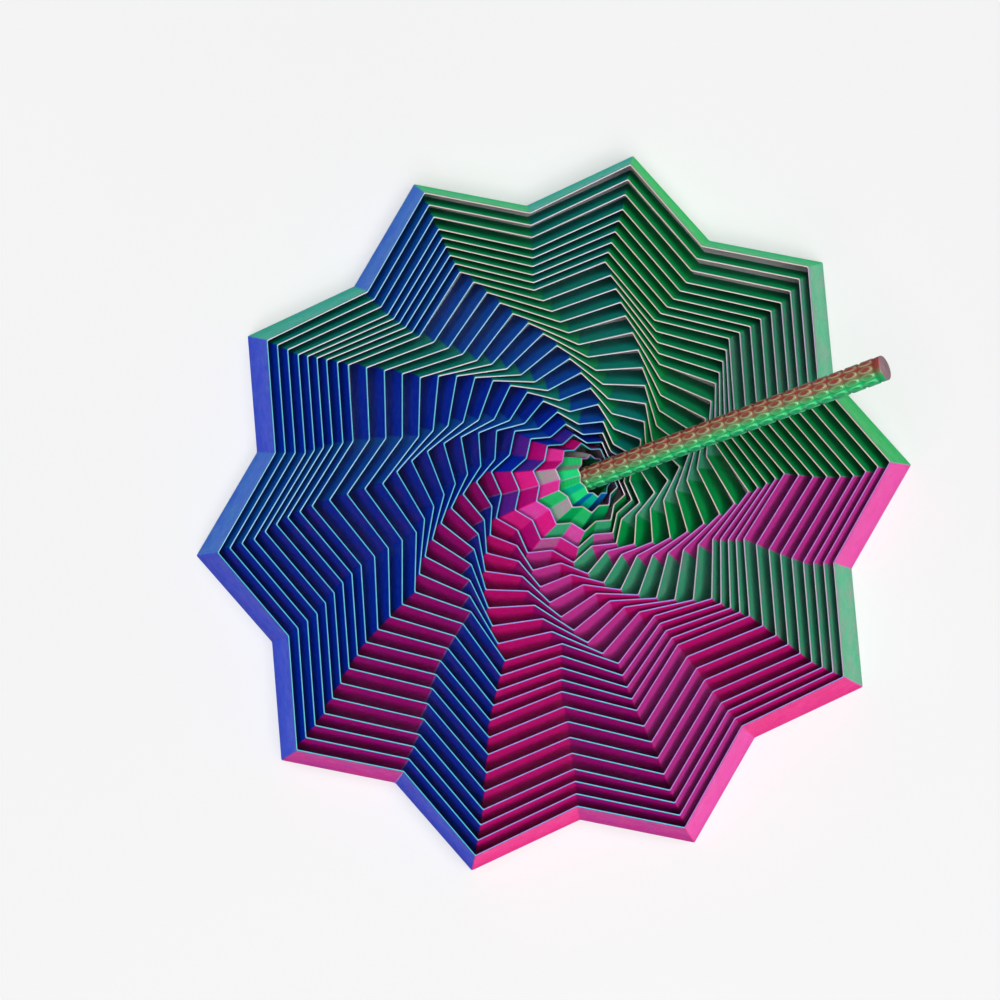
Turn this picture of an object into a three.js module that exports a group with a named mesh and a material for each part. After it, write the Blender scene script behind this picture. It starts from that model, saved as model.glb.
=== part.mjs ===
// Nested star toy: tapered ten-point star rings, each loose inside the next, with a knobbly stick
// standing out of the smallest ring. It lies collapsed on a table: the outer rings sit flat, the
// middle rings are turned as far as their neighbours let them, and the innermost rings lean over
// with the stick. Lengths are in millimetres, angles in degrees, +Z is up and Z = 0 is the table.
import * as THREE from 'three';

// ---- Star and ring sizes ----
const POINTS = 10;                // points on every star
const RING_COUNT = 25;            // rings, from the outermost inwards
const RING_HEIGHT = 16;
const WALL = 0.5;                 // thickness of every ring's wall, measured level and square to it
const GAP = 2.43;                 // level space between two neighbouring walls
const WALL_DRAW_IN = 5.6;         // how far a wall comes in from its foot to its rim

// ---- How the flat rings lie ----
const FIRST_POINT_ANGLE = 6.1;    // direction of the outermost ring's first point
const CONTACT_CLEARANCE = 0.2;    // space left where a turned ring reaches its neighbour
const RIM_FLEX = 0.032;           // outermost ring: stretch of its rim
const RIM_FLEX_DIRECTION = 66;    // and the direction that it is stretched in
const FOOT_FLEX = 0.0205;         // the same at its foot
const FOOT_FLEX_DIRECTION = 56;
const FLEX_RINGS = 6;             // rings over which the flex dies out
const LOOSE_TURN = 0.27;          // turn from ring to ring among the outer, loose rings
const SLIPPED_TURN = 0.35;        // turn where the rings have slipped sideways, as a share of the limit
const BACK_SLIP = 0.45;           // slip backwards, as a share of the room that a ring's turn leaves it
const BACK_SLIP_DIRECTION = 107.5;
const SIDE_SLIP = 0.73;           // the same sideways
const SIDE_SLIP_DIRECTION = 7.4;
const TURNED_LIFT = 0.3;          // height of each turned ring's foot over its neighbour's

// ---- Leaning rings and stick ----
const LEAN_DIRECTION = 18.7;      // direction that the innermost rings and the stick lean in
// Each leaning ring's turn in its neighbour, and its X and Y slip as shares of GAP.
const LEANING_SEATS = [
  { turn: 0.6, slip: [-0.12, -0.16] },
  { turn: -0.2, slip: [-0.12, -0.04] },
  { turn: -1.1, slip: [-0.27, 0.16] },
  { turn: 0, slip: [-0.29, -0.12] },
];
const LEAN_CLEARANCE = 0.1;       // space left where a leaning ring reaches its neighbour
const TABLE_CLEARANCE = 0.25;     // height of a leaning ring's lowest point
const LEAN_PIVOT_HEIGHT = 2.6;    // height above its foot that a leaning ring rocks about
const STICK_ROOM = 1.17;          // space between the upright stick and the smallest rim's walls
const STICK_CLEARANCE = 0.45;     // space left where the leaning stick reaches the smallest rim
const STICK_PIVOT_DEPTH = 3;      // depth below the innermost rim that the stick rocks about
const STICK_LENGTH = 102;
const STICK_FOOT_LIFT = 0.5;      // height of the stick's hidden end above the innermost foot
const STICK_RADIUS = 3.3;         // over the knobs
const KNOB_PITCH = 4.25;          // from knob to knob along the stick
const KNOB_HEIGHT = 0.35;         // knob crest above the waist between two knobs
const GROOVE_DEPTH = 0.3;         // depth of the lengthwise grooves between the rows of knobs
const COLLAR_LENGTH = 1.8;        // plain collar at the stick's free end
const FOOT_CATCH = 0.3;           // how much wider the star at the hidden end is than the smallest rim
const FOOT_THICKNESS = 1.5;

// First ring of each group, counted from 0 at the outermost ring.
const FIRST_SLIPPED_BACK = 4;
const FIRST_SLIPPED_SIDEWAYS = 9;
const FIRST_TURNED = 13;
const FIRST_LEANING = RING_COUNT - LEANING_SEATS.length;

// A star is two overlaid polygons of half the points. Where its points lie on radius R, the lines of
// its walls pass at APOTHEM * R from the centre and its notches lie on NOTCH * R.
const APOTHEM = Math.cos(2 * Math.PI / POINTS);
const NOTCH = APOTHEM / Math.cos(Math.PI / POINTS);
const TIP_PITCH = (WALL + GAP) / APOTHEM;
const TIP_WALL = WALL / APOTHEM;
const TIP_DRAW_IN = WALL_DRAW_IN / APOTHEM;

const UP = new THREE.Vector3(0, 0, 1);
const MOST_LEAN = 45;             // widest lean and smallest step that the fits are worked out with
const SOLVE_STEP = 0.001;
const EDGE_STEPS = 12;            // places looked at up each corner edge of a ring
const radians = THREE.MathUtils.degToRad;

// The stick sets the smallest ring's size, and each ring further out is one pitch larger.
const SMALLEST_TIP_RADIUS = (STICK_RADIUS + STICK_ROOM + WALL + WALL_DRAW_IN) / APOTHEM;
const SMALLEST_RIM = SMALLEST_TIP_RADIUS - TIP_WALL - TIP_DRAW_IN;
const FOOT_RADIUS = SMALLEST_RIM + FOOT_CATCH;
const footTipRadius = (ring) => SMALLEST_TIP_RADIUS + (RING_COUNT - 1 - ring) * TIP_PITCH;

// ---- Shapes ----
// A profile of [radius, height, notch] rows turned round Z. Every other step takes its radius times
// the row's notch, which makes the rows stars.
function starTurned(rows) {
  const steps = 2 * POINTS;
  const profile = rows.map(([radius, height]) => new THREE.Vector2(radius, height));
  const geometry = new THREE.LatheGeometry(profile, steps);
  const position = geometry.attributes.position;
  for (let step = 1; step < steps; step += 2) {
    rows.forEach(([, , notch], row) => {
      const vertex = step * rows.length + row;
      position.setX(vertex, position.getX(vertex) * notch);
      position.setZ(vertex, position.getZ(vertex) * notch);
    });
  }
  geometry.rotateX(Math.PI / 2);
  geometry.rotateZ(Math.PI / 2);
  return geometry;
}

function ringShape(ring) {
  const foot = footTipRadius(ring);
  const rim = foot - TIP_DRAW_IN;
  return starTurned([
    [foot, 0, NOTCH], [rim, RING_HEIGHT, NOTCH], [rim - TIP_WALL, RING_HEIGHT, NOTCH],
    [foot - TIP_WALL, 0, NOTCH], [foot, 0, NOTCH],
  ]);
}

// Stretches a ring along one level direction and narrows it as much across. The foot and the rim have
// each their own stretch, and the wall between them goes over from one to the other.
function flex(geometry, ring, turned) {
  const share = Math.max(0, 1 - ring / FLEX_RINGS);
  const place = new THREE.Vector3();
  const stretched = (amount, direction) => {
    const along = new THREE.Vector3(1, 0, 0).applyAxisAngle(UP, radians(direction - turned));
    const inLine = place.x * along.x + place.y * along.y;
    return along.multiplyScalar(2 * inLine).sub(place).multiplyScalar(amount * share);
  };
  const position = geometry.attributes.position;
  for (let vertex = 0; vertex < position.count; vertex++) {
    place.fromBufferAttribute(position, vertex);
    const foot = stretched(FOOT_FLEX, FOOT_FLEX_DIRECTION);
    const rim = stretched(RIM_FLEX, RIM_FLEX_DIRECTION);
    const shift = foot.lerp(rim, place.z / RING_HEIGHT);
    position.setXY(vertex, place.x + shift.x, place.y + shift.y);
  }
}

// A star foot, then knobs in rows all along, then a plain collar with a flat end.
function stickShape() {
  const crest = STICK_RADIUS;
  const waist = STICK_RADIUS - KNOB_HEIGHT;
  const grooved = 1 - GROOVE_DEPTH / STICK_RADIUS;
  const knobsLength = STICK_LENGTH - FOOT_THICKNESS - COLLAR_LENGTH;
  const knobs = Math.round(knobsLength / KNOB_PITCH);
  const rows = [[0, 0, NOTCH], [FOOT_RADIUS, 0, NOTCH], [FOOT_RADIUS, FOOT_THICKNESS, NOTCH]];
  for (let knob = 0; knob < knobs; knob++) {
    rows.push([waist, FOOT_THICKNESS + knobsLength * knob / knobs, grooved]);
    rows.push([crest, FOOT_THICKNESS + knobsLength * (knob + 0.5) / knobs, grooved]);
  }
  rows.push([waist, STICK_LENGTH - COLLAR_LENGTH, grooved]);
  rows.push([crest, STICK_LENGTH - COLLAR_LENGTH + KNOB_HEIGHT, grooved]);
  rows.push([crest, STICK_LENGTH, grooved], [0, STICK_LENGTH, grooved]);
  return starTurned(rows);
}

// ---- Materials ----
function silk(hue) {
  return new THREE.MeshStandardMaterial({
    color: new THREE.Color().setHSL(hue, 0.7, 0.4), roughness: 0.35, metalness: 0.3,
  });
}

// ---- How each ring sits in its neighbour ----
// Level space that a ring has to its neighbour once it has turned and its foot is lifted.
function roomLeft(ring, turn, lift = 0) {
  const taken = footTipRadius(ring) * (Math.cos(radians(360 / POINTS - turn)) - APOTHEM);
  return GAP - lift * WALL_DRAW_IN / RING_HEIGHT - taken;
}

// The largest amount up to most that still leaves the wanted clearance.
function largest(most, wanted, clearance) {
  let low = 0;
  let high = most;
  while (high - low > SOLVE_STEP) {
    const middle = (low + high) / 2;
    if (clearance(middle) > wanted) low = middle;
    else high = middle;
  }
  return low;
}

const turnLimit = (ring, lift) => (
  largest(180 / POINTS, CONTACT_CLEARANCE, (turn) => roomLeft(ring, turn, lift)));

function slipped(ring, turn, share, direction) {
  const slip = share * roomLeft(ring, turn);
  return new THREE.Vector3(slip * Math.cos(radians(direction)), slip * Math.sin(radians(direction)), 0);
}

// Places up a ring's corner edges, on its outer wall or, one wall thickness further in, its inner wall.
function cornerPlaces(ring, angle, inwards) {
  const places = [];
  for (let corner = 0; corner < 2 * POINTS; corner++) {
    const direction = radians(angle + corner * 180 / POINTS);
    for (let step = 0; step <= EDGE_STEPS; step++) {
      const share = step / EDGE_STEPS;
      const tip = footTipRadius(ring) - inwards - share * TIP_DRAW_IN;
      const radius = corner % 2 === 0 ? tip : tip * NOTCH;
      places.push(new THREE.Vector3(
        radius * Math.cos(direction), radius * Math.sin(direction), share * RING_HEIGHT));
    }
  }
  return places;
}

// How far inside a ring's wall a place is, level and square to the wall. The two polygons of half the
// points that make up a star both count as inside.
function depthInside(place, ring, angle, inwards) {
  const apothem = (footTipRadius(ring) - inwards) * APOTHEM - place.z * WALL_DRAW_IN / RING_HEIGHT;
  const depths = [Infinity, Infinity];
  for (let wall = 0; wall < POINTS; wall++) {
    const direction = radians(angle + wall * 360 / POINTS);
    const reach = place.x * Math.cos(direction) + place.y * Math.sin(direction);
    depths[wall % 2] = Math.min(depths[wall % 2], apothem - reach);
  }
  return Math.max(...depths);
}

// Space between a leaning ring and its neighbour. The pose takes the ring into its neighbour's frame.
function leaningSpace(ring, angle, neighbourAngle, pose) {
  const back = pose.clone().invert();
  const ownSpaces = cornerPlaces(ring, angle, 0).map((place) => place.applyMatrix4(pose))
    .filter((place) => place.z < RING_HEIGHT)
    .map((place) => depthInside(place, ring - 1, neighbourAngle, TIP_WALL));
  const neighbourSpaces = cornerPlaces(ring - 1, neighbourAngle, TIP_WALL)
    .map((place) => place.applyMatrix4(back))
    .filter((place) => place.z > 0)
    .map((place) => -depthInside(place, ring, angle, 0));
  return Math.min(...ownSpaces, ...neighbourSpaces);
}

// A group whose contents lean in LEAN_DIRECTION about a level line through its own Z axis.
function leaningGroup(lean, pivotHeight) {
  const direction = radians(LEAN_DIRECTION);
  const axis = new THREE.Vector3(-Math.sin(direction), Math.cos(direction), 0);
  const group = new THREE.Group();
  group.quaternion.setFromAxisAngle(axis, radians(lean));
  const pivot = new THREE.Vector3(0, 0, pivotHeight);
  group.position.copy(pivot).sub(pivot.clone().applyQuaternion(group.quaternion));
  group.updateMatrix();
  return group;
}

// A leaning ring's group: its lowest point is TABLE_CLEARANCE up and it leans as far as it can.
function leaningSeat(ring, angle, neighbourAngle, slip, holderMatrix) {
  const up = new THREE.Vector3().setFromMatrixColumn(holderMatrix, 2);
  const seated = (lean) => {
    const group = leaningGroup(lean, LEAN_PIVOT_HEIGHT);
    group.position.add(new THREE.Vector3(slip[0] * GAP, slip[1] * GAP, 0));
    group.updateMatrix();
    const heights = cornerPlaces(ring, angle, 0).map(
      (place) => place.applyMatrix4(group.matrix).applyMatrix4(holderMatrix).z);
    group.position.z += (TABLE_CLEARANCE - Math.min(...heights)) / up.z;
    group.updateMatrix();
    return group;
  };
  return seated(largest(MOST_LEAN, LEAN_CLEARANCE, (lean) => (
    leaningSpace(ring, angle, neighbourAngle, seated(lean).matrix))));
}

// How far the stick leans in the smallest ring before it reaches the rim or its foot a wall.
function stickLean() {
  const pivotHeight = RING_HEIGHT - STICK_PIVOT_DEPTH;
  return largest(MOST_LEAN, STICK_CLEARANCE, (lean) => {
    const turn = radians(lean);
    const atRim = SMALLEST_RIM * NOTCH - STICK_PIVOT_DEPTH * Math.tan(turn) - STICK_RADIUS / Math.cos(turn);
    const atFoot = [0, FOOT_THICKNESS].map((level) => {
      const depth = pivotHeight - STICK_FOOT_LIFT - level;
      const out = depth * Math.sin(turn) + FOOT_RADIUS * Math.cos(turn);
      const height = pivotHeight - depth * Math.cos(turn) + FOOT_RADIUS * Math.sin(turn);
      return (SMALLEST_TIP_RADIUS - TIP_WALL - height * TIP_DRAW_IN / RING_HEIGHT) * NOTCH - out;
    });
    return Math.min(atRim, ...atFoot);
  });
}

function seat(ring, angle, holderMatrix) {
  const level = (turn, step = new THREE.Vector3(), lift = 0) => {
    const group = new THREE.Group();
    group.position.copy(step).setZ(lift);
    return { turn, group };
  };
  if (ring === 0) return level(0);
  if (ring < FIRST_SLIPPED_BACK) return level(LOOSE_TURN);
  if (ring < FIRST_SLIPPED_SIDEWAYS) {
    return level(LOOSE_TURN, slipped(ring, LOOSE_TURN, BACK_SLIP, BACK_SLIP_DIRECTION));
  }
  if (ring < FIRST_TURNED) {
    const turn = SLIPPED_TURN * turnLimit(ring, 0);
    return level(turn, slipped(ring, turn, SIDE_SLIP, SIDE_SLIP_DIRECTION));
  }
  if (ring < FIRST_LEANING) {
    return level(turnLimit(ring, TURNED_LIFT), new THREE.Vector3(), TURNED_LIFT);
  }
  const { turn, slip } = LEANING_SEATS[ring - FIRST_LEANING];
  return { turn, group: leaningSeat(ring, angle - turn, angle, slip, holderMatrix) };
}

// ---- Assembly: every ring's group is inside its outer neighbour's group ----
const toy = new THREE.Group();
let holder = toy;
let angle = FIRST_POINT_ANGLE;
for (let ring = 0; ring < RING_COUNT; ring++) {
  holder.updateWorldMatrix(true, false);
  const { turn, group } = seat(ring, angle, holder.matrixWorld);
  angle -= turn;
  const shape = ringShape(ring);
  flex(shape, ring, angle);
  const mesh = new THREE.Mesh(shape, silk(0.6 + ring * 0.01));
  mesh.name = `ring_${String(ring + 1).padStart(2, '0')}`;
  mesh.rotation.z = radians(angle);
  group.add(mesh);
  holder.add(group);
  holder = group;
}

const stick = new THREE.Mesh(stickShape(), silk(0.4));
stick.name = 'stick';
stick.position.z = STICK_FOOT_LIFT;
const stickGroup = leaningGroup(stickLean(), RING_HEIGHT - STICK_PIVOT_DEPTH);
stickGroup.add(stick);
holder.add(stickGroup);

export default toy;
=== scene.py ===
"""Nested star toy: tapered ten-point star rings printed in three-colour silk plastic, each loose in the
next, with a knobbly stick leaning out of the smallest ring."""

import math

import bpy
import numpy as np
from mathutils import Euler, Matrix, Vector


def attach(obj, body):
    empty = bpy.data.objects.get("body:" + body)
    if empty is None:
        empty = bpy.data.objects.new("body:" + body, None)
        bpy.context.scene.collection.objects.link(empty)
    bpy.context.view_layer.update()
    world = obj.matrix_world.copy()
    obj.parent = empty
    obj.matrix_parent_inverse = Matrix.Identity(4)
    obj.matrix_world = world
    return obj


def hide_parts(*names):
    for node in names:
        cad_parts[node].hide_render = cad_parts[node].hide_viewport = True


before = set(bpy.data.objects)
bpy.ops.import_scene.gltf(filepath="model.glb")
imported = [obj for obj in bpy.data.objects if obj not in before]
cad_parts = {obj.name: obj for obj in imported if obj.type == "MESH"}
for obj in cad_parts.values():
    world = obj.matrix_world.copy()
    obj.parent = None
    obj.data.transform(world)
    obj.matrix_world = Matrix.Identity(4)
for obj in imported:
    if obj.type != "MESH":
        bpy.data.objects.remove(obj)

MM = 0.001
UP = np.array([0.0, 0.0, 1.0])
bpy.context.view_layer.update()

# ---- Printed ring ----
CORNERS = 20  # ten points and ten notches
LAYER = 0.4 * MM  # height of one printed layer
LAYER_GROOVE = 0.035 * MM  # how deep the line between two layers is
EDGE_ROUND = 0.32 * MM  # rounding of the points and notches
RIM_ROUND = 0.16 * MM  # how far down the rounded rim starts
FIRST_POINT = math.radians(6.1)  # direction of the outermost ring's first point
SEAM_CORNER = 13  # notch where each printed layer starts and ends
SEAM_BULGE = 0.1 * MM
UNEVEN = 0.15  # how much layers differ, as a share of the groove
BEAD = ((0.22, 0.25), (0.5, 0.0), (0.78, 0.25))  # rows over the rim: share across, share of its drop
BEAD_SPREAD = 0.65  # how far the rim's edge rows turn outwards
SAME_HEIGHT = 0.02 * MM
INNER_TWIST = math.radians(170)  # how far the silk's colours have turned in the smallest ring
TWISTED_RINGS = 4  # smallest rings, over which that builds up

# ---- Knobbly stick ----
COLUMNS = 10  # rows of knobs round the stick
KNOB_PITCH = 4.25 * MM
KNOB_DEPTH = 0.42 * MM  # knob edge above the groove round it
DIMPLE = 0.35  # how far a knob's middle sinks back, as a share of its depth
SAMPLES = 8  # vertices across one knob, each way
COLLAR = 1.8 * MM
STICK_TWIST = math.radians(8)  # how the stick's print direction lies against its upper side
FLANK = 0.3 * MM  # rounding of the foot and of the collar
COLLAR_INSET = 0.12 * MM
FOOT_NOTCH = 0.149  # depth of the foot's notches, as a share of its radius
HUB = 0.02  # radius where the end faces close, as a share of theirs


def paint(code):
    """A linear colour from a hex code."""
    channels = [int(code[i : i + 2], 16) / 255 for i in (1, 3, 5)]
    linear = [c / 12.92 if c <= 0.04045 else ((c + 0.055) / 1.055) ** 2.4 for c in channels]
    return (*linear, 1.0)


# Silk colours by the direction that a wall faces, in the ring's own frame: degrees and colour.
WALL_COLOURS = [
    (0, "#50b88c"),
    (36, "#00b45c"),
    (72, "#08b070"),
    (108, "#00a490"),
    (144, "#0064c8"),
    (180, "#0038c8"),
    (216, "#1c36b4"),
    (252, "#b40c84"),
    (288, "#dc1484"),
    (330, "#e04cac"),
]
# Rim colours by the direction that a rim faces, in the ring's own frame. They are paler than the walls: the
# rim's own colour with painted silk sheen mixed in.
RIM_COLOURS_AND_SHEEN = [
    (0, "#8a7c8c"),
    (36, "#9c8684"),
    (72, "#a09290"),
    (108, "#9c949a"),
    (144, "#6c92a0"),
    (180, "#4c8c94"),
    (216, "#3c8898"),
    (252, "#4490a0"),
    (288, "#6c6c9c"),
    (324, "#805c94"),
]
STICK_COLOURS = [
    (0, "#805044"),
    (20, "#5c8458"),
    (40, "#14a862"),
    (72, "#0ca470"),
    (108, "#007460"),
    (144, "#005090"),
    (180, "#042c90"),
    (216, "#282e8c"),
    (252, "#701c40"),
    (300, "#9c3440"),
    (340, "#984840"),
]
STICK_END_COLOURS = [(0, "#8c6c74"), (180, "#74545c")]


# ---- Reading the CAD nodes ----
def node_places(name):
    """A node's vertices, each place once."""
    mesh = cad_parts[name].data
    places = np.empty(len(mesh.vertices) * 3)
    mesh.vertices.foreach_get("co", places)
    return np.unique(places.reshape(-1, 3).round(7), axis=0)


def ring_axis(name, places):
    """The direction from a ring's foot to its rim: along it, every corner is at one of two heights."""
    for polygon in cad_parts[name].data.polygons:
        axis = np.array(polygon.normal)
        height = places @ axis
        low, high = height < height.min() + SAME_HEIGHT, height > height.max() - SAME_HEIGHT
        if (low | high).all() and low.sum() == high.sum():
            spread = [np.linalg.norm(places[end] - places[end].mean(0), axis=1).mean() for end in (low, high)]
            return axis if spread[0] > spread[1] else -axis
    raise ValueError(f"{name} has no level foot and rim")


def outline(places, axis, first):
    """The outer and inner corners of one end of a ring, turning left from its first point."""
    centre = places.mean(0)
    across = places - centre
    ahead = first - axis * (first @ axis)
    ahead /= np.linalg.norm(ahead)
    left = np.cross(axis, ahead)
    angle = np.arctan2(across @ left, across @ ahead)
    radius = np.linalg.norm(across, axis=1)
    order = np.argsort(angle)
    pairs = order.reshape(CORNERS, 2)
    pairs = np.array([pair[np.argsort(-radius[pair])] for pair in pairs])
    turned = angle[pairs[:, 0]]
    points = radius[pairs[:, 0]] > radius[pairs[:, 0]].mean()
    start = np.argmin(np.where(points, np.abs(turned), np.inf))
    pairs = np.roll(pairs, -start, axis=0)
    return places[pairs[:, 0]], places[pairs[:, 1]], centre


def read_ring(name, first):
    """A ring's corner outlines and own directions. first is its outer neighbour's first point."""
    places = node_places(name)
    axis = ring_axis(name, places)
    height = places @ axis
    middle = (height.min() + height.max()) / 2
    outer_foot, inner_foot, centre = outline(places[height < middle], axis, first)
    outer_rim, inner_rim, top = outline(places[height > middle], axis, first)
    ahead = outer_foot[0] - centre
    ahead /= np.linalg.norm(ahead)
    return {
        "outer": (outer_foot, outer_rim),
        "inner": (inner_foot, inner_rim),
        "centre": centre,
        "height": np.linalg.norm(top - centre),
        "ahead": ahead,
        "left": np.cross(axis, ahead),
        "axis": axis,
    }


# ---- Meshes ----
def rounded(corners):
    """Three places round each corner of a closed outline, and the outline's outward directions there."""
    before = np.roll(corners, 1, axis=0) - corners
    after = np.roll(corners, -1, axis=0) - corners
    before /= np.linalg.norm(before, axis=1)[:, None]
    after /= np.linalg.norm(after, axis=1)[:, None]
    start, end = corners + before * EDGE_ROUND, corners + after * EDGE_ROUND
    middle = (start + 2 * corners + end) / 4
    places = np.stack([start, middle, end], axis=1).reshape(-1, 3)
    along = np.stack([-before, after - before, after], axis=1).reshape(-1, 3)
    return places, along / np.linalg.norm(along, axis=1)[:, None]


def ring_rows(ring, random):
    """Rows up the outer wall, over the rim and down the inner wall: places, outward ways, rim or not."""
    layers = round(ring["height"] / LAYER)
    steps = np.linspace(0, 1 - RIM_ROUND / ring["height"], 2 * layers + 1)
    uneven = random.normal(0, UNEVEN, layers + 1)
    rows = []
    for side, sign in (("outer", 1), ("inner", -1)):
        foot, rim = ring[side]
        wall = []
        for number, share in enumerate(steps):
            groove = LAYER_GROOVE * ((number % 2 == 0) + uneven[number // 2])
            places, along = rounded(foot + (rim - foot) * share)
            outward = np.cross(along, ring["axis"])
            shift = np.full(len(places), -groove * sign)
            if side == "outer":
                shift[3 * SEAM_CORNER + 1] += SEAM_BULGE * (1 + 0.5 * uneven[number // 2])
            wall.append((places + outward * shift[:, None], outward, 0.0))
        rows.append(wall)
    outer_rim, inner_rim = rounded(ring["outer"][1]), rounded(ring["inner"][1])
    outward = np.cross(outer_rim[1], ring["axis"])
    bead = []
    for across, drop in BEAD:
        places = outer_rim[0] + (inner_rim[0] - outer_rim[0]) * across
        bead.append((places - ring["axis"] * RIM_ROUND * drop, outward, 1.0))
    return rows[0] + bead + rows[1][::-1]


def closed_tube(rows, around):
    """Faces of a tube of rows that closes both ways."""
    grid = np.arange(rows * around).reshape(rows, around)
    turned = np.roll(grid, -1, axis=1)
    return np.stack([grid, turned, np.roll(turned, -1, 0), np.roll(grid, -1, 0)], axis=-1).reshape(-1, 4)


def mesh_piece(name, places, faces, normals, attributes, material):
    """A mesh object with its own normals and the attributes that its material reads."""
    mesh = bpy.data.meshes.new(name)
    mesh.from_pydata(places.tolist(), [], [face.tolist() for face in faces])
    mesh.polygons.foreach_set("use_smooth", [True] * len(mesh.polygons))
    for label, values in attributes.items():
        kind = "FLOAT" if values.ndim == 1 else "FLOAT_VECTOR"
        layer = mesh.attributes.new(label, kind, "POINT")
        layer.data.foreach_set("value" if values.ndim == 1 else "vector", values.ravel())
    mesh.materials.append(material)
    mesh.update()
    if normals is not None:
        mesh.normals_split_custom_set_from_vertices(normals.tolist())
    piece = bpy.data.objects.new(name, mesh)
    bpy.context.scene.collection.objects.link(piece)
    return piece


def star_ring(name, ring, twist, material, random):
    """One printed ring; twist turns its silk colours round it."""
    rows = ring_rows(ring, random)
    around = len(rows[0][0])
    walls = (len(rows) - len(BEAD)) // 2
    places = np.concatenate([row[0] for row in rows])
    outward = np.concatenate([row[1] for row in rows])
    rim = np.repeat([row[2] for row in rows], around)
    inward = np.arange(len(places)) >= (walls + len(BEAD)) * around
    facing = np.where(inward[:, None], -outward, outward)
    slope = math.atan2(
        np.linalg.norm(ring["outer"][0][0] - ring["centre"])
        - np.linalg.norm(ring["outer"][1][0] - ring["centre"] - ring["axis"] * ring["height"]),
        ring["height"],
    )
    lean = np.where(inward, -math.sin(slope), math.sin(slope))[:, None]
    normals = facing * math.cos(slope) + ring["axis"] * lean
    normals[rim > 0] = ring["axis"]
    for row, sign in ((walls, 1), (walls + len(BEAD) - 1, -1)):
        edge = slice(row * around, (row + 1) * around)
        normals[edge] = ring["axis"] + sign * BEAD_SPREAD * outward[edge]
    normals /= np.linalg.norm(normals, axis=1)[:, None]
    own = places - ring["centre"]
    seam = np.zeros(len(places))
    seam[: walls * around].reshape(walls, around)[:, 3 * SEAM_CORNER + 1] = 1.0
    ahead, left = facing @ ring["ahead"], facing @ ring["left"]
    colour_ahead = ahead * math.cos(twist) - left * math.sin(twist)
    colour_left = ahead * math.sin(twist) + left * math.cos(twist)
    attributes = {
        "print_side": np.stack([colour_ahead, colour_left, np.zeros(len(places))], axis=1),
        "print_place": np.stack([own @ ring["ahead"], own @ ring["left"], own @ ring["axis"]], axis=1) / MM,
        "rim": rim,
        "seam": seam,
    }
    faces = closed_tube(len(rows), around)
    return mesh_piece(name, places, faces, normals, attributes, material)


def stick_frame():
    """The stick's hidden end, axis, upper side and sizes, from its node."""
    places = node_places("stick")
    middle = places.mean(0)
    axis = np.linalg.svd(places - middle, full_matrices=False)[2][0]
    along = (places - middle) @ axis
    radius = np.linalg.norm(places - middle - along[:, None] * axis, axis=1)
    if along[np.argmax(radius)] > 0:
        axis, along = -axis, -along
    foot = middle + axis * along.min()
    upper = UP - axis * (UP @ axis)
    upper /= np.linalg.norm(upper)
    thick = radius[along > 0].max()
    foot_top = along[radius > 1.05 * thick].max() - along.min()
    return {
        "foot": foot,
        "axis": axis,
        "upper": upper,
        "side": np.cross(axis, upper),
        "length": along.max() - along.min(),
        "radius": thick,
        "foot_radius": radius.max(),
        "foot_top": foot_top,
    }


def knob(across, along):
    """Height of a knob and how near a place is to its edge line, for places from -1 to 1 in its cell."""
    reach = (np.abs(across) ** 2.4 + np.abs(along) ** 2.4) ** (1 / 2.4)
    rise = np.clip((1 - reach) / 0.3, 0, 1)
    rise = rise * rise * (3 - 2 * rise)
    sunk = DIMPLE * np.clip((0.7 - reach) / 0.7, 0, 1)
    edge = np.exp(-(((reach - 0.72) / 0.13) ** 2))
    return rise - sunk, edge


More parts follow.
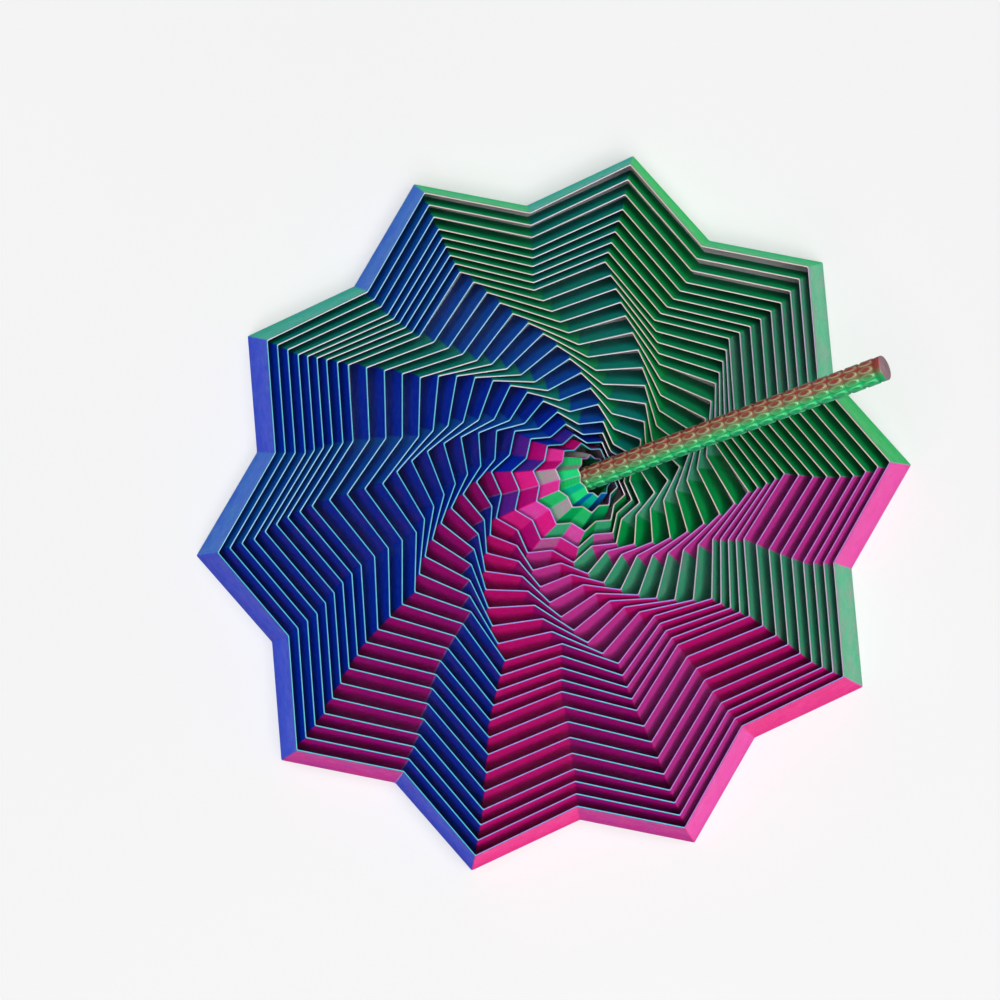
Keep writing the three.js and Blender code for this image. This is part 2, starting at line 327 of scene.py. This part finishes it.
def knobbly_stick(name, stick, material):
    """The stick, in rows from its hidden foot to its plain end: height, radii, ridge, end or not."""
    around = COLUMNS * SAMPLES
    turn = 2 * math.pi * np.arange(around) / around
    across = (np.arange(around) % SAMPLES) / (SAMPLES / 2) - 1
    knobs_length = stick["length"] - stick["foot_top"] - COLLAR
    knobs = round(knobs_length / KNOB_PITCH)
    foot_shape = 1 - FOOT_NOTCH * np.abs((turn * COLUMNS / math.pi) % 2 - 1)
    groove = stick["radius"] - KNOB_DEPTH
    rows = [
        (0.0, HUB * stick["foot_radius"] * foot_shape, 0 * turn, 0.0),
        (0.0, (stick["foot_radius"] - FLANK) * foot_shape, 0 * turn, 0.0),
        (FLANK, stick["foot_radius"] * foot_shape, 0 * turn, 0.0),
        (stick["foot_top"] - FLANK, stick["foot_radius"] * foot_shape, 0 * turn, 0.0),
        (stick["foot_top"], (stick["foot_radius"] - FLANK) * foot_shape, 0 * turn, 0.0),
    ]
    for step in range(knobs * SAMPLES + 1):
        along = (step % SAMPLES) / (SAMPLES / 2) - 1
        rise, edge = knob(across, along)
        height = stick["foot_top"] + knobs_length * step / (knobs * SAMPLES)
        rows.append((height, groove + KNOB_DEPTH * rise, edge, 0.0))
    collar = stick["radius"] - COLLAR_INSET
    end = stick["length"]
    for height, radius, top in (
        (end - COLLAR + FLANK, collar, 0.0),
        (end - 0.5 * FLANK, collar, 0.0),
        (end - 0.12 * FLANK, collar - 0.15 * FLANK, 1.0),
        (end, collar - 0.6 * FLANK, 1.0),
        (end, HUB * collar, 1.0),
    ):
        rows.append((height, radius + 0 * turn, 0 * turn, top))
    out = np.cos(turn)[:, None] * stick["upper"] + np.sin(turn)[:, None] * stick["side"]
    places = np.concatenate([stick["foot"] + stick["axis"] * h + out * r[:, None] for h, r, _, _ in rows])
    count = len(rows)
    grid = np.arange(count * around).reshape(count, around)
    turned = np.roll(grid, -1, axis=1)
    sides = np.stack([grid[:-1], turned[:-1], turned[1:], grid[1:]], axis=-1).reshape(-1, 4)
    faces = [face for face in sides] + [grid[0][::-1], grid[-1]]
    print_turn = np.tile(turn + STICK_TWIST, count)
    own = places - stick["foot"]
    attributes = {
        "print_side": np.stack([np.cos(print_turn), np.sin(print_turn), 0 * print_turn], axis=1),
        "print_place": own @ np.stack([stick["upper"], stick["side"], stick["axis"]], axis=1) / MM,
        "rim": np.repeat([row[3] for row in rows], around),
        "ridge": np.concatenate([row[2] for row in rows]),
    }
    return mesh_piece(name, places, faces, None, attributes, material)


# ---- Materials ----
def add(nodes, kind, place, **settings):
    node = nodes.new(kind)
    node.location = place
    for label, value in settings.items():
        setattr(node, label, value)
    return node


def group(name, inputs, outputs):
    """An empty node group with named sockets: inputs give (name, kind, value)."""
    tree = bpy.data.node_groups.new(name, "ShaderNodeTree")
    for label, kind, value in inputs:
        socket = tree.interface.new_socket(label, in_out="INPUT", socket_type=kind)
        if value is not None:
            socket.default_value = value
    for label, kind in outputs:
        tree.interface.new_socket(label, in_out="OUTPUT", socket_type=kind)
    start = add(tree.nodes, "NodeGroupInput", (-1200, 0))
    end = add(tree.nodes, "NodeGroupOutput", (900, 0))
    return tree, start, end


def math_node(tree, operation, place, *operands):
    """A Math node; each operand is a socket or a number."""
    node = add(tree.nodes, "ShaderNodeMath", place, operation=operation)
    for slot, operand in enumerate(operands):
        if isinstance(operand, (int, float)):
            node.inputs[slot].default_value = operand
        else:
            tree.links.new(operand, node.inputs[slot])
    return node.outputs[0]


def noise(tree, vector, scale, detail, place, stretch=None):
    """Noise from 0 to 1, stretched if asked."""
    if stretch:
        mapping = add(tree.nodes, "ShaderNodeMapping", (place[0] - 200, place[1]))
        mapping.inputs["Scale"].default_value = stretch
        tree.links.new(vector, mapping.inputs["Vector"])
        vector = mapping.outputs[0]
    node = add(tree.nodes, "ShaderNodeTexNoise", place)
    node.inputs["Scale"].default_value = scale
    node.inputs["Detail"].default_value = detail
    tree.links.new(vector, node.inputs["Vector"])
    return node.outputs["Fac"]


def mix(tree, factor, first, second, place, blend="MIX"):
    """A colour Mix node; factor and colours are sockets or values."""
    node = add(tree.nodes, "ShaderNodeMix", place, data_type="RGBA", blend_type=blend)
    for socket, value in ((node.inputs[0], factor), (node.inputs[6], first), (node.inputs[7], second)):
        if isinstance(value, (int, float, tuple)):
            socket.default_value = value
        else:
            tree.links.new(value, socket)
    return node.outputs[2]


def direction_ramp(tree, stops, angle, place):
    """A colour ramp round the full turn that ends on the colour it starts with."""
    node = add(tree.nodes, "ShaderNodeValToRGB", place)
    ramp = node.color_ramp
    ramp.elements[0].position, ramp.elements[0].color = 0.0, paint(stops[0][1])
    ramp.elements[1].position, ramp.elements[1].color = 1.0, paint(stops[0][1])
    for degrees, code in stops[1:]:
        ramp.elements.new(degrees / 360).color = paint(code)
    tree.links.new(angle, node.inputs[0])
    return node.outputs["Color"]


def facing_group():
    """Which way a wall faces in its own print frame, from 0 to 1 for a full turn, made uneven."""
    tree, start, end = group(
        "silk facing",
        [
            ("Side", "NodeSocketVector", None),
            ("Place", "NodeSocketVector", None),
            ("Streaks", "NodeSocketFloat", 0.03),
        ],
        [("Turn", "NodeSocketFloat")],
    )
    parts = add(tree.nodes, "ShaderNodeSeparateXYZ", (-1000, 100))
    tree.links.new(start.outputs["Side"], parts.inputs[0])
    angle = math_node(tree, "ARCTAN2", (-800, 100), parts.outputs[1], parts.outputs[0])
    turn = math_node(tree, "DIVIDE", (-600, 100), angle, 2 * math.pi)
    broad = noise(tree, start.outputs["Place"], 0.16, 2, (-800, -150))
    fine = noise(tree, start.outputs["Place"], 1.0, 3, (-800, -400), stretch=(1.6, 1.6, 0.12))
    both = math_node(tree, "ADD", (-600, -250), broad, fine)
    centred = math_node(tree, "SUBTRACT", (-400, -250), both, 1.0)
    shift = math_node(tree, "MULTIPLY", (-200, -250), centred, start.outputs["Streaks"])
    uneven = math_node(tree, "ADD", (0, 0), turn, shift)
    raised = math_node(tree, "ADD", (200, 0), uneven, 2.0)
    whole = math_node(tree, "FRACT", (400, 0), raised)
    tree.links.new(whole, end.inputs["Turn"])
    return tree


def layers_group():
    """Lines between printed layers: a height for bump and a mask of the grooves that paints shade into them.
    """
    tree, start, end = group(
        "printed layers",
        [("Place", "NodeSocketVector", None), ("Layer", "NodeSocketFloat", LAYER / MM)],
        [("Height", "NodeSocketFloat"), ("Groove Shade", "NodeSocketFloat")],
    )
    parts = add(tree.nodes, "ShaderNodeSeparateXYZ", (-1000, 100))
    tree.links.new(start.outputs["Place"], parts.inputs[0])
    count = math_node(tree, "DIVIDE", (-800, 100), parts.outputs[2], start.outputs["Layer"])
    wobble = noise(tree, start.outputs["Place"], 0.5, 3, (-800, -200), stretch=(1, 1, 2.5))
    slight = math_node(tree, "MULTIPLY", (-600, -200), wobble, 0.12)
    wobbled = math_node(tree, "ADD", (-600, 0), count, slight)
    phase = math_node(tree, "FRACT", (-400, 0), wobbled)
    bulge = math_node(tree, "SINE", (-200, 0), math_node(tree, "MULTIPLY", (-300, 0), phase, math.pi))
    tree.links.new(bulge, end.inputs["Height"])
    # Painted shade: the mask is strongest in the grooves between layers, where the base colour gets darkened.
    groove = math_node(tree, "POWER", (100, -100), math_node(tree, "SUBTRACT", (0, -100), 1.0, bulge), 2.0)
    tree.links.new(groove, end.inputs["Groove Shade"])
    return tree


def gloss_group():
    """Roughness of silk plastic: cloudy, with fine scuffs."""
    tree, start, end = group(
        "silk gloss",
        [
            ("Place", "NodeSocketVector", None),
            ("Smooth", "NodeSocketFloat", 0.28),
            ("Dull", "NodeSocketFloat", 0.45),
        ],
        [("Roughness", "NodeSocketFloat")],
    )
    cloud = noise(tree, start.outputs["Place"], 0.35, 3, (-800, 0))
    scuff = noise(tree, start.outputs["Place"], 4.0, 2, (-800, -300))
    amount = math_node(tree, "MULTIPLY_ADD", (-400, 0), scuff, 0.4, -0.2)
    total = math_node(tree, "ADD", (-200, 0), cloud, amount)
    remap = add(tree.nodes, "ShaderNodeMapRange", (100, 0))
    remap.inputs["From Min"].default_value = 0.3
    remap.inputs["From Max"].default_value = 0.7
    tree.links.new(total, remap.inputs["Value"])
    tree.links.new(start.outputs["Smooth"], remap.inputs["To Min"])
    tree.links.new(start.outputs["Dull"], remap.inputs["To Max"])
    tree.links.new(remap.outputs[0], end.inputs["Roughness"])
    return tree


FACING, LAYERS, GLOSS = facing_group(), layers_group(), gloss_group()


def place_group(tree, shared, place, **values):
    node = add(tree.nodes, "ShaderNodeGroup", place, node_tree=shared)
    for label, value in values.items():
        socket = node.inputs[label]
        if isinstance(value, (int, float)):
            socket.default_value = value
        else:
            tree.links.new(value, socket)
    return node


def attribute(tree, label, place):
    return add(tree.nodes, "ShaderNodeAttribute", place, attribute_name=label)


def silk_material(name, stops, rim_stops, streaks, metallic):
    """Silk plastic with the parts that rings and stick share; returns it with what is still to link."""
    material = bpy.data.materials.new(name)
    material.use_nodes = True
    tree = material.node_tree
    shader = tree.nodes["Principled BSDF"]
    shader.inputs["Metallic"].default_value = metallic
    shader.inputs["IOR"].default_value = 1.35
    side = attribute(tree, "print_side", (-1500, 200)).outputs["Vector"]
    place = attribute(tree, "print_place", (-1500, -100)).outputs["Vector"]
    turn = place_group(tree, FACING, (-1250, 200), Side=side, Place=place, Streaks=streaks).outputs["Turn"]
    wall = direction_ramp(tree, stops, turn, (-1000, 300))
    layer = place_group(tree, LAYERS, (-1250, -100), Place=place)
    gloss = place_group(tree, GLOSS, (-1250, -350), Place=place)
    tree.links.new(gloss.outputs["Roughness"], shader.inputs["Roughness"])
    bump = add(tree.nodes, "ShaderNodeBump", (-300, -300))
    bump.inputs["Strength"].default_value = 0.35
    bump.inputs["Distance"].default_value = 0.1 * MM
    tree.links.new(layer.outputs["Height"], bump.inputs["Height"])
    tree.links.new(bump.outputs["Normal"], shader.inputs["Normal"])
    # Painted shade: the groove mask multiplies the wall colour with grey, darkening it between printed
    # layers.
    groove_shaded = mix(tree, layer.outputs["Groove Shade"], wall, paint("#8c8c8c"), (-700, 300), blend="MULTIPLY")
    # On the ring rims, the paler rim colours carry painted sheen as well as the rim's own colour.
    rims = direction_ramp(tree, rim_stops, turn, (-1000, 0))
    rim = attribute(tree, "rim", (-700, 0)).outputs["Fac"]
    coloured = mix(tree, rim, groove_shaded, rims, (-500, 200))
    return material, tree, shader, coloured


def ring_material():
    name = "tricolour silk rings"
    material, tree, shader, coloured = silk_material(name, WALL_COLOURS, RIM_COLOURS_AND_SHEEN, 0.05, 0.18)
    seam = attribute(tree, "seam", (-500, -100)).outputs["Fac"]
    faint = math_node(tree, "MULTIPLY", (-350, -100), seam, 0.5)
    seamed = mix(tree, faint, coloured, paint("#a08cb4"), (-250, 200))
    tree.links.new(seamed, shader.inputs["Base Color"])
    return material


def stick_material():
    name = "tricolour silk stick"
    material, tree, shader, coloured = silk_material(name, STICK_COLOURS, STICK_END_COLOURS, 0.06, 0.2)
    ridge = attribute(tree, "ridge", (-500, -100)).outputs["Fac"]
    faint = math_node(tree, "MULTIPLY", (-350, -100), ridge, 0.5)
    pale = mix(tree, faint, coloured, paint("#8ccc98"), (-250, 200))
    tree.links.new(pale, shader.inputs["Base Color"])
    return material


def floor_material():
    material = bpy.data.materials.new("pale floor")
    material.use_nodes = True
    tree = material.node_tree
    shader = tree.nodes["Principled BSDF"]
    shader.inputs["Roughness"].default_value = 0.9
    shader.inputs["Specular IOR Level"].default_value = 0.1
    place = add(tree.nodes, "ShaderNodeTexCoord", (-900, 0)).outputs["Object"]
    cloud = noise(tree, place, 3.0, 2, (-600, 0))
    pale = mix(tree, cloud, paint("#b2b2b2"), paint("#b6b6b6"), (-300, 0))
    tree.links.new(pale, shader.inputs["Base Color"])
    return material


# ---- Camera and light ----
CAMERA_PLACE = (-3.5 * MM, -29.2 * MM, 600 * MM)
CAMERA_TILT = (3.06, 1.065, 0.07)  # degrees about X, Y and Z
CAMERA_LENS = 78.14
FLOOR_SIZE = 40.0
FLOOR_DROP = 0.05 * MM  # keeps the floor just under the toy's foot
OVERHEAD_STRENGTH = 5.6
OVERHEAD_SPREAD = math.radians(58)
OVERHEAD_TILT = (math.radians(3), math.radians(4), 0)

camera = bpy.data.objects.new("camera", bpy.data.cameras.new("camera"))
camera.location = CAMERA_PLACE
camera.rotation_euler = Euler([math.radians(turn) for turn in CAMERA_TILT])
camera.data.lens = CAMERA_LENS
camera.data.clip_start = 0.01
bpy.context.scene.collection.objects.link(camera)
bpy.context.scene.camera = camera


def soft_light(name, place, size, power):
    """A square soft light that faces the toy."""
    lamp = bpy.data.lights.new(name, "AREA")
    lamp.size = size
    lamp.energy = power
    light = bpy.data.objects.new(name, lamp)
    light.location = place
    light.rotation_euler = (-Vector(place)).to_track_quat("-Z", "Y").to_euler()
    bpy.context.scene.collection.objects.link(light)


overhead_lamp = bpy.data.lights.new("overhead", "SUN")
overhead_lamp.energy = OVERHEAD_STRENGTH
overhead_lamp.angle = OVERHEAD_SPREAD
overhead_light = bpy.data.objects.new("overhead", overhead_lamp)
overhead_light.rotation_euler = Euler(OVERHEAD_TILT)
bpy.context.scene.collection.objects.link(overhead_light)
soft_light("front", (0.15, -0.75, 1.2), 0.4, 3)

world = bpy.data.worlds.new("studio")
world.use_nodes = True
world.node_tree.nodes["Background"].inputs["Color"].default_value = (1, 1, 1, 1)
world.node_tree.nodes["Background"].inputs["Strength"].default_value = 0.12
bpy.context.scene.world = world
bpy.context.scene.view_settings.view_transform = "Standard"
bpy.context.scene.view_settings.gamma = 0.85

floor_mesh = bpy.data.meshes.new("floor")
half = FLOOR_SIZE / 2
floor_corners = [(-half, -half, 0), (half, -half, 0), (half, half, 0), (-half, half, 0)]
floor_mesh.from_pydata(floor_corners, [], [(0, 1, 2, 3)])
floor_mesh.materials.append(floor_material())
floor = bpy.data.objects.new("floor", floor_mesh)
floor.location.z = -FLOOR_DROP
bpy.context.scene.collection.objects.link(floor)

# ---- The toy ----
ring_silk = ring_material()
random = np.random.default_rng(7)
first_point = np.array([math.cos(FIRST_POINT), math.sin(FIRST_POINT), 0.0])
ring_names = sorted(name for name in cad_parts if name.startswith("ring_"))
for number, node_name in enumerate(ring_names):
    ring = read_ring(node_name, first_point)
    first_point = ring["ahead"]
    share = max(0, number + 1 + TWISTED_RINGS - len(ring_names)) / TWISTED_RINGS
    piece = star_ring(f"star_{node_name}", ring, INNER_TWIST * share**2, ring_silk, random)
    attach(piece, node_name)
    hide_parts(node_name)

stick_piece = knobbly_stick("knobbly_stick", stick_frame(), stick_material())
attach(stick_piece, "stick")
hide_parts("stick")
